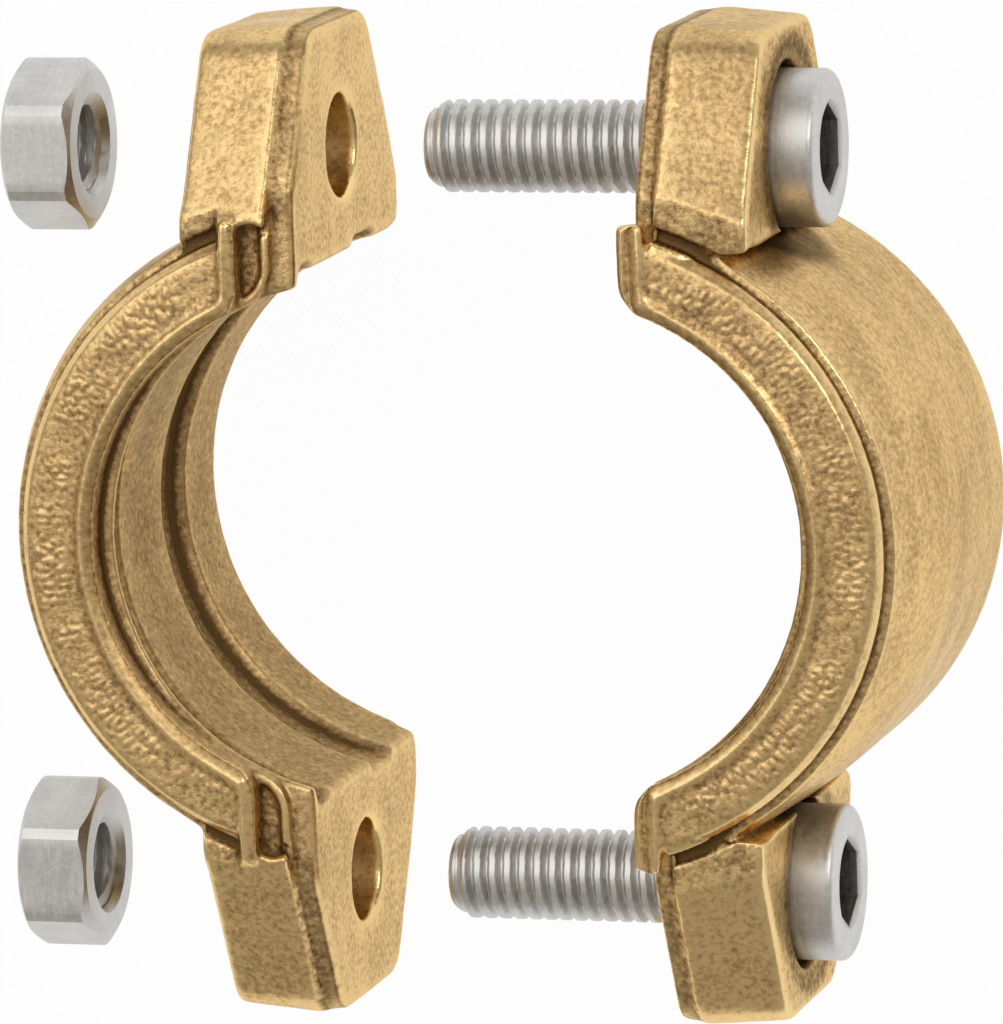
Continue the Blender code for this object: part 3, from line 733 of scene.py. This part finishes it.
def flank_shade_wire(spot, off_face):
    """Painted shade on the flanks of the lugs' pads, darker in a line along each of their edges."""
    flank_shade = 0.34 + spot.past.hump(*PAD_LINE) * 0.6 + spot.past.hump(*PARTING_LINE) * 0.5
    flank_shade = flank_shade * (1.0 - spot.past.stepped(*FLANK_PAST))
    return flank_shade * spot.aside.stepped(*FLANK_ASIDE) * (1.0 - off_face.stepped(*FLANK_FACING))


def channel_wire(spot):
    """1 in the channel of a ledge that takes the other shell's tongue."""
    ledge = spot.given["Ledge"]
    channel = spot.past.hump(ledge * CHANNEL_SHARE, CHANNEL_HALF) * ledge.stepped(*CHANNEL_LEDGE)
    return channel * spot.below.hump(*CHANNEL_LINE) * spot.aside.stepped(*CHANNEL_ASIDE)


def shade_marked_skin(spot, skin):
    """The shell with four marks on its points: hollow for painted shade, partly patina, bore for painted
    shade, edge for painted highlight with edge wear, and outside for painted highlight.
    """
    net, given, normal = spot.net, spot.given, spot.normal
    narrow, middling, broad = (
        dot_wire(net, vector_wire(net, 'SUBTRACT', spot.blurred(passes), spot.place), normal)
        / given["Cell"] * (CREASE_GAIN / math.sqrt(passes)) for passes in CREASE_PASSES)
    outward = dot_wire(net, normal, spot.spoke) / spot.radius
    off_face = abs(part_wire(net, normal, "X"))
    screw = given["Screw"]
    from_screw = spot.reach(spot.aside - part_wire(net, screw, "Y"), spot.z - part_wire(net, screw, "Z"))
    # Painted shade round each screw head in its recess.
    recess_shade = from_screw.between(RECESS_SHADE_INNER, RECESS_SHADE_OUTER) * spot.past.stepped(*RECESS_SHADE_PAST)
    # Painted shade under the lugs' feet, beside the flange.
    foot = spot.aside.hump(*FOOT_LINE) * spot.along.between(FOOT_START, FOOT_END)
    # The bore mark: the finish paints the bore darker, as painted shade.
    bore = (0.0 - outward).stepped(*BORE_FACING) * (1.0 - spot.radius.stepped(*BORE_RADIUS))
    # Painted shade in the bore's groove.
    groove = bore * spot.below.hump(*GROOVE_LINE) * spot.aside.stepped(*GROOVE_ASIDE)
    # Painted shade along the seam under the flange's edge.
    seam = spot.below.hump(*SEAM_LINE) * spot.radius.between(SEAM_SHADE_INNER, SEAM_SHADE_OUTER)
    # Crease: darker the deeper a point lies in a hollow, as painted shade, partly patina.
    crease = (narrow * 0.5 + middling * 0.45 + broad * 0.8).most(0.0)
    # The hollow mark sums the painted shade of every zone.
    hollow = crease + flank_shade_wire(spot, off_face) + recess_shade * 0.7 + foot * 0.35 + groove * 0.5 + seam * 0.5
    # The screw holes are kept out of the painted shade and painted lighter.
    hole = 1.0 - from_screw.stepped(*HOLE_RADIUS)
    skin = marked(net, skin, "hollow", hollow * (1.0 - channel_wire(spot) * 0.5) * (1.0 - hole * 0.9))
    # Convex edges painted lighter: painted highlight with edge wear.
    highlit_and_rubbed = (narrow * -0.6 + middling * -0.4) * (1.0 - spot.shoulder * 0.9)
    skin = marked(net, skin, "edge", highlit_and_rubbed + hole * 0.5)
    skin = marked(net, skin, "bore", bore)
    # Outward and parting faces, which the finish paints lighter and calmer: painted highlight and painted
    # reflections.
    outside = outward.stepped(*OUTSIDE_FACING) * spot.radius.stepped(*OUTSIDE_RADIUS)
    parting = off_face.stepped(*PARTING_FACING) * (1.0 - spot.past.stepped(*PARTING_PAST))
    return marked(net, skin, "outside", outside.most(parting * 0.8))


def skin_tree():
    """Node tree that wears a shell's edges, roughens its skin, and marks its painted shade and painted
    highlight.
    """
    net, given = open_tree("pressed_skin", SKIN_INPUTS)
    spot = SkinPoint(net, given)
    skin = grained_skin(spot, lowered_skin(spot, worn_skin(spot)))
    return close_tree(net, shade_marked_skin(spot, skin), given["Finish"])


def pressed_shell(node, looks, finish):
    """One shell: a finely remeshed copy of its solid, worn and uneven like a hot pressing."""
    low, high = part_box(node)
    side = 1.0 if low.x + high.x > 0.0 else -1.0
    axis = (high.x if side > 0.0 else low.x) - side * RING_REACH
    parting = (low.x if side > 0.0 else high.x) + side * TONGUE[node]
    copy = merged_copy(node)
    remesh = copy.modifiers.new("even", 'REMESH')
    remesh.mode = 'VOXEL'
    remesh.voxel_size = looks.voxel
    tree = bpy.data.node_groups.get("pressed_skin") or skin_tree()
    add_tree(copy, tree, {
        "Wear": looks.wear, "Lug Wear": looks.lug_wear, "Back Wear": looks.back_wear,
        "Tongue Wear": looks.tongue_wear, "Shoulder Wear": looks.shoulder_wear, "Ledge": LEDGE[node],
        "Lug Start": looks.lug_start, "Cell": looks.voxel,
        "Swell": looks.swell, "Grain": looks.grain, "Pebble Height": looks.pebble_height,
        "Pebble Width": looks.pebble_width, "Pebble Length": looks.pebble_length,
        "Bead Slope": looks.bead_slope, "Foot Step": looks.foot_step, "Seam": looks.seam,
        "Front": high.z, "Axis": axis, "Parting": parting, "Side": side,
        "Screw": sum(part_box(SCREWS[0]), Vector()) / 2, "Finish": finish})
    dense = evaluated_copy(copy, node + "_dense")
    discard(copy)
    lighten = dense.modifiers.new("lighten", 'DECIMATE')
    lighten.ratio = looks.triangles / sum(len(face.vertices) - 2 for face in dense.data.polygons)
    shell = evaluated_copy(dense, node + "_brass")
    discard(dense)
    mesh = shell.data
    points = np.empty(len(mesh.vertices) * 3, np.float32)
    mesh.vertices.foreach_get("co", points)
    points = np.clip(points.reshape(-1, 3), np.array(low), np.array(high))
    mesh.vertices.foreach_set("co", points.astype(np.float32).ravel())
    mesh.update()
    mesh.shade_smooth()
    return shell


SHARES = ("thread", "hexagon", "corner", "shade")

# A screw: its head's height in radii, and its chamfers, plain lengths and rims in metres
HEAD_HEIGHT = 1.2
CHAMFER = 0.0002
THREAD_END = 0.0004
HEAD_FOOT = 0.0003
SOCKET_LAND = 0.0004
SOCKET_SHADE_DEPTH = 0.0007
SOCKET_FLOOR_DROP = 0.0001
SOCKET_POINT = 0.0010
THREAD_GROWTH = 0.9
SCREW_SMOOTHING = 32.0

# A nut: its flat face against its width, its countersink's slope and its corners' edge
NUT_FACE = 0.955
SINK_SLOPE = 0.6
CORNER_EDGE = 0.00012
NUT_SMOOTHING = 22.0

# How dark a thread's root, a nut's hole and a socket's rim, wall and floor are
ROOT_SHADE = 0.03
NUT_SHADE = 0.1
RIM_SHADE = 0.35
WALL_SHADE = 0.6
FLOOR_SHADE = 0.7


def row(along, radius, thread=0.0, hexagon=0.0, corner=0.0, shade=0.0):
    """One row of a turned profile: its place, and how far each of the shares holds there.

    The shares say how far it is threaded, hexagonal, set back at the corners, and how much painted shade it
    takes inside a hole.
    """
    return (along, radius, thread, hexagon, corner, shade)


def profile_object(name, rows):
    """A line of points that holds a turned profile, with the shares of its rows."""
    mesh = bpy.data.meshes.new(name)
    mesh.from_pydata([(along, radius, 0.0) for along, radius, *_ in rows],
                     [(step, step + 1) for step in range(len(rows) - 1)], [])
    for index, share in enumerate(SHARES, start=2):
        layer = mesh.attributes.new(share, 'FLOAT', 'POINT')
        layer.data.foreach_set("value", [float(step[index]) for step in rows])
    item = bpy.data.objects.new(name, mesh)
    bpy.context.scene.collection.objects.link(item)
    return item


TURNING_INPUTS = (
    ("Columns", "NodeSocketInt"), ("Rows", "NodeSocketInt"), ("Pitch", "NodeSocketFloat"),
    ("Depth", "NodeSocketFloat"), ("Shift", "NodeSocketFloat"), ("Flats", "NodeSocketFloat"),
    ("Corners", "NodeSocketFloat"), ("Face", "NodeSocketFloat"), ("Place", "NodeSocketVector"),
    ("Finish", "NodeSocketMaterial"),
)


def turning_tree():
    """Node tree that turns a profile about X: threads follow a helix, hexagons follow their flats."""
    net, given = open_tree("turned_hardware", TURNING_INPUTS)
    count = given["Columns"] + 1
    grid = net.node("GeometryNodeMeshGrid", {}, {"Vertices X": given["Rows"], "Vertices Y": count})
    index = net.node("GeometryNodeInputIndex", {}, {})
    line = (index / count + 0.0001).floor()
    column = index - line * count
    angle = column / given["Columns"] * (2 * math.pi)

    def sampled(data_type, value):
        return net.node("GeometryNodeSampleIndex", {"data_type": data_type, "domain": 'POINT'},
                        {"Geometry": given["Geometry"], "Value": value, "Index": line})

    def share(name):
        field = net.node("GeometryNodeInputNamedAttribute", {"data_type": 'FLOAT'}, {"Name": name})
        return sampled('FLOAT', field)

    spot = sampled('FLOAT_VECTOR', net.node("GeometryNodeInputPosition", {}, {}))
    along, radius = part_wire(net, spot, "X"), part_wire(net, spot, "Y")
    origin = part_wire(net, given["Place"], "X")
    turn = (origin + along + given["Shift"]) / given["Pitch"] - angle / (2 * math.pi)
    ramp = abs((turn % 1.0) * 2.0 - 1.0).stepped(0.08, 0.66)
    flat = given["Flats"] / 2.0 / ((angle % (math.pi / 3)) - math.pi / 6).cosine()
    flat = flat.least(given["Corners"] / 2.0)
    hexagon, thread = share("hexagon"), share("thread")
    radius = radius + thread * ramp * given["Depth"]
    radius = radius * (1.0 - hexagon) + flat * hexagon
    setback = (flat - given["Face"]).most(0.0) * math.tan(math.pi / 6)
    along = along + share("corner") * setback
    local = net.node("ShaderNodeCombineXYZ", {},
                     {"X": along, "Y": radius * angle.cosine(), "Z": radius * angle.sine()})
    where = vector_wire(net, 'ADD', local, given["Place"])
    moved = net.node("GeometryNodeSetPosition", {}, {"Geometry": grid, "Position": where})
    # Painted shade inside sockets, nut holes and thread roots.
    shaded = marked(net, moved, "hollow", share("shade") + thread * (1.0 - ramp) * ROOT_SHADE)
    welded = net.node("GeometryNodeMergeByDistance", {}, {"Geometry": shaded, "Distance": 1e-7})
    return close_tree(net, welded, given["Finish"])


def turned_piece(name, rows, values):
    """Run the turning tree on a profile, and keep the result as a plain mesh with its faces outwards."""
    tree = bpy.data.node_groups.get("turned_hardware") or turning_tree()
    profile = profile_object(name + "_profile", rows)
    add_tree(profile, tree, dict(values, Rows=len(rows)))
    piece = evaluated_copy(profile, name)
    discard(profile)
    work = bmesh.new()
    work.from_mesh(piece.data)
    bmesh.ops.remove_doubles(work, verts=work.verts, dist=1e-7)
    bmesh.ops.recalc_face_normals(work, faces=work.faces)
    work.to_mesh(piece.data)
    work.free()
    return piece


def arc_rows(along, radius, size, start, end, steps=5):
    """Rows round a quarter edge, centred at (along, radius); the angles run from the axis outwards."""
    rows = []
    for step in range(steps + 1):
        angle = math.radians(start + (end - start) * step / steps)
        rows.append(row(along + size * math.cos(angle), radius + size * math.sin(angle)))
    return rows


def thread_rows(start, end, root, looks, ramp, shade=0.0):
    """Rows of a threaded length; the thread grows in over the ramp at each end, if there is one."""
    count = round(abs(end - start) / looks.pitch * looks.rows_per_pitch)
    rows = []
    for step in range(count + 1):
        along = start + (end - start) * step / count
        inside = min(abs(along - start), abs(end - along))
        rows.append(row(along, root, thread=min(1.0, inside / ramp) if ramp else 1.0, shade=shade))
    return rows


def steel_values(looks, flats, corners, face, place, finish, shift=0.0):
    """Inputs of the turning tree for a screw or a nut."""
    return {"Columns": looks.columns, "Pitch": looks.pitch, "Depth": looks.depth, "Shift": shift,
            "Flats": flats, "Corners": corners, "Face": face, "Place": place, "Finish": finish}


def socket_screw(node, looks, finish):
    """A socket head screw whose seat, length and head come from its solid."""
    low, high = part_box(node)
    head = (high.y - low.y) / 2
    head_height = HEAD_HEIGHT * head
    axis = (low + high) / 2
    seat = high.x - head_height
    length = seat - low.x
    root = looks.crest - looks.depth
    edge = looks.edge
    rows = [row(-length, 0.0), row(-length, root * 0.6), row(-length, root - CHAMFER)]
    rows += thread_rows(-length + CHAMFER, -THREAD_END, root, looks, looks.pitch * THREAD_GROWTH)
    rows += [row(0.0, root + HEAD_FOOT), row(0.0, head - HEAD_FOOT), row(CHAMFER, head),
             row(head_height * 0.4, head)]
    rows += arc_rows(head_height - edge, head - edge, edge, 90.0, 0.0)
    rim = looks.socket / 2 / math.cos(math.pi / 6) + CHAMFER
    rows += [row(head_height, rim + SOCKET_LAND), row(head_height, rim)]
    floor = head_height - looks.socket_depth
    rows += [row(head_height - CHAMFER, rim - CHAMFER, hexagon=1, shade=RIM_SHADE),
             row(head_height - SOCKET_SHADE_DEPTH, rim, hexagon=1, shade=WALL_SHADE),
             row(floor, rim, hexagon=1, shade=FLOOR_SHADE),
             row(floor - SOCKET_FLOOR_DROP, looks.socket * 0.45, shade=FLOOR_SHADE),
             row(floor - SOCKET_POINT, 0.0, shade=FLOOR_SHADE)]
    place = Vector((seat, axis.y, axis.z))
    values = steel_values(looks, looks.socket, 1.0, 1.0, place, finish)
    piece = turned_piece(node + "_steel", rows, values)
    smooth_by_angle(piece.data, SCREW_SMOOTHING)
    return piece


def hexagon_nut(node, looks, finish):
    """A hexagon nut with chamfered corners and a thread that runs on with its screw's when closed."""
    low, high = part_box(node)
    height = high.x - low.x
    flats = high.z - low.z
    corners = high.y - low.y
    face = NUT_FACE * flats / 2
    root = looks.crest + looks.nut_play - looks.depth
    mouth = looks.countersink
    sink = (mouth - root) * SINK_SLOPE
    rows = [row(0.0, mouth), row(0.0, face), row(0.0, flats / 2, hexagon=1, corner=-1),
            row(-CORNER_EDGE, flats / 2, hexagon=1, corner=-1), row(-height * 0.5, flats / 2, hexagon=1),
            row(-height + CORNER_EDGE, flats / 2, hexagon=1, corner=1),
            row(-height, flats / 2, hexagon=1, corner=1), row(-height, face), row(-height, mouth)]
    rows += thread_rows(-height + sink, -sink, root, looks, 0.0, NUT_SHADE)
    rows += [row(0.0, mouth)]
    place = Vector((high.x, (low.y + high.y) / 2, (low.z + high.z) / 2))
    values = steel_values(looks, flats, corners, face, place, finish, travel_of(node))
    piece = turned_piece(node + "_steel", rows, values)
    smooth_by_angle(piece.data, NUT_SMOOTHING)
    return piece


class CLAMP_OT_shells(bpy.types.Operator):
    """Press the two brass shells"""
    bl_idname = "clamp.shells"
    bl_label = "Brass shells"

    def execute(self, context):
        looks = context.scene.clamp_shells
        finish = brass_finish(looks)
        for node in SHELLS:
            dress(pressed_shell(node, looks, finish), node, finish)
        return {'FINISHED'}


class CLAMP_OT_hardware(bpy.types.Operator):
    """Turn the two socket screws and the two nuts"""
    bl_idname = "clamp.hardware"
    bl_label = "Screws and nuts"

    def execute(self, context):
        looks = context.scene.clamp_hardware
        finish = steel_finish(looks)
        for node in SCREWS + NUTS:
            make = socket_screw if node in SCREWS else hexagon_nut
            dress(make(node, looks, finish), node, finish)
        return {'FINISHED'}


def area_light(name, place, target, size, power, colour):
    """A soft square lamp that faces a point."""
    lamp = bpy.data.lights.new(name, 'AREA')
    lamp.size = size
    lamp.energy = power
    lamp.color = colour
    item = bpy.data.objects.new(name, lamp)
    item.location = place
    item.rotation_euler = (target - place).to_track_quat('-Z', 'Y').to_euler()
    bpy.context.scene.collection.objects.link(item)
    return item


def pale_floor(looks):
    """A wide pale floor that keeps a faint shadow."""
    size = looks.floor_reach
    mesh = bpy.data.meshes.new("floor")
    mesh.from_pydata([(-size, -size, 0.0), (size, -size, 0.0), (size, size, 0.0), (-size, size, 0.0)],
                     [], [(0, 1, 2, 3)])
    floor = bpy.data.objects.new("floor", mesh)
    bpy.context.scene.collection.objects.link(floor)
    material, net, shader = shader_net("pale_floor")
    feed(net, shader, "Base Color", (*looks.floor, 1.0))
    feed(net, shader, "Roughness", 0.9)
    feed(net, shader, "Specular IOR Level", 0.1)
    glow = net.node("ShaderNodeEmission", {}, {"Color": (1.0, 1.0, 1.0, 1.0), "Strength": 1.0})
    path = material.node_tree.nodes.new("ShaderNodeLightPath")
    rays = [Wire(net, path.outputs[f"Is {kind} Ray"]) for kind in ("Camera", "Glossy", "Transmission")]
    seen = (rays[0] + rays[1] + rays[2]).clamped()
    mixed = net.node("ShaderNodeMixShader", {},
                     {0: seen * looks.floor_glow, 1: Wire(net, shader.outputs[0]), 2: glow})
    output = material.node_tree.nodes["Material Output"]
    material.node_tree.links.new(mixed.socket, output.inputs["Surface"])
    mesh.materials.append(material)
    return floor


def fitted_camera(looks):
    """The camera at the photograph's angle and distance."""
    toward = Vector((math.sin(looks.turn) * math.cos(looks.rise), math.sin(looks.rise),
                     math.cos(looks.turn) * math.cos(looks.rise)))
    right = Vector((math.cos(looks.turn), 0.0, -math.sin(looks.turn)))
    up = toward.cross(right)
    across = right * math.cos(looks.roll) + up * math.sin(looks.roll)
    upward = up * math.cos(looks.roll) - right * math.sin(looks.roll)
    camera = bpy.data.cameras.new("camera")
    camera.lens = FOCAL_PIXELS / PHOTO_HEIGHT * SENSOR
    camera.sensor_width = SENSOR
    camera.clip_start = CLIP_START
    camera.clip_end = CLIP_END
    item = bpy.data.objects.new("camera", camera)
    item.matrix_world = (Matrix.Translation(Vector(looks.target) + toward * looks.distance)
                         @ Matrix((across, upward, toward)).transposed().to_4x4())
    bpy.context.scene.collection.objects.link(item)
    bpy.context.scene.camera = item


class CLAMP_OT_stage(bpy.types.Operator):
    """Lay the floor, and set the lights and the camera"""
    bl_idname = "clamp.stage"
    bl_label = "Stage"

    def execute(self, context):
        scene = context.scene
        looks = scene.clamp_stage
        pale_floor(looks)
        world = bpy.data.worlds.new("studio")
        world.use_nodes = True
        back = world.node_tree.nodes["Background"]
        back.inputs["Color"].default_value = (*looks.room, 1.0)
        back.inputs["Strength"].default_value = looks.world
        scene.world = world
        low, high = CAD_BOX
        middle = (low + high) / 2
        area_light("key", Vector(looks.key_place), middle, looks.key_size, looks.key, looks.key_colour)
        area_light("overhead", Vector(looks.overhead_place), middle, looks.overhead_size, looks.overhead,
                   looks.overhead_colour)
        fitted_camera(looks)
        scene.view_settings.view_transform = 'Standard'
        return {'FINISHED'}


class CLAMP_PT_panel(bpy.types.Panel):
    """Sidebar panel with the clamp's settings and steps"""
    bl_label = "Split Clamp"
    bl_idname = "CLAMP_PT_panel"
    bl_space_type = 'VIEW_3D'
    bl_region_type = 'UI'
    bl_category = "Clamp"

    def draw(self, context):
        for step, group in STEPS:
            box = self.layout.box()
            looks = getattr(context.scene, group)
            for name in looks.bl_rna.properties.keys():
                if name not in {"rna_type", "name"}:
                    box.prop(looks, name)
            box.operator(step.bl_idname)


STEPS = (
    (CLAMP_OT_shells, "clamp_shells"),
    (CLAMP_OT_hardware, "clamp_hardware"),
    (CLAMP_OT_stage, "clamp_stage"),
)
GROUPS = {"clamp_shells": ShellLooks, "clamp_hardware": HardwareLooks, "clamp_stage": StageLooks}
CLASSES = (*GROUPS.values(), *(step for step, _ in STEPS), CLAMP_PT_panel)


def register():
    """Register the add-on's classes and its settings."""
    for item in CLASSES:
        bpy.utils.register_class(item)
    for name, group in GROUPS.items():
        setattr(bpy.types.Scene, name, PointerProperty(type=group))


def unregister():
    """Take them off again."""
    for name in GROUPS:
        delattr(bpy.types.Scene, name)
    for item in reversed(CLASSES):
        bpy.utils.unregister_class(item)


def main():
    """Run every step."""
    register()
    bpy.ops.clamp.shells()
    bpy.ops.clamp.hardware()
    bpy.ops.clamp.stage()


if __name__ == "__main__":
    main()
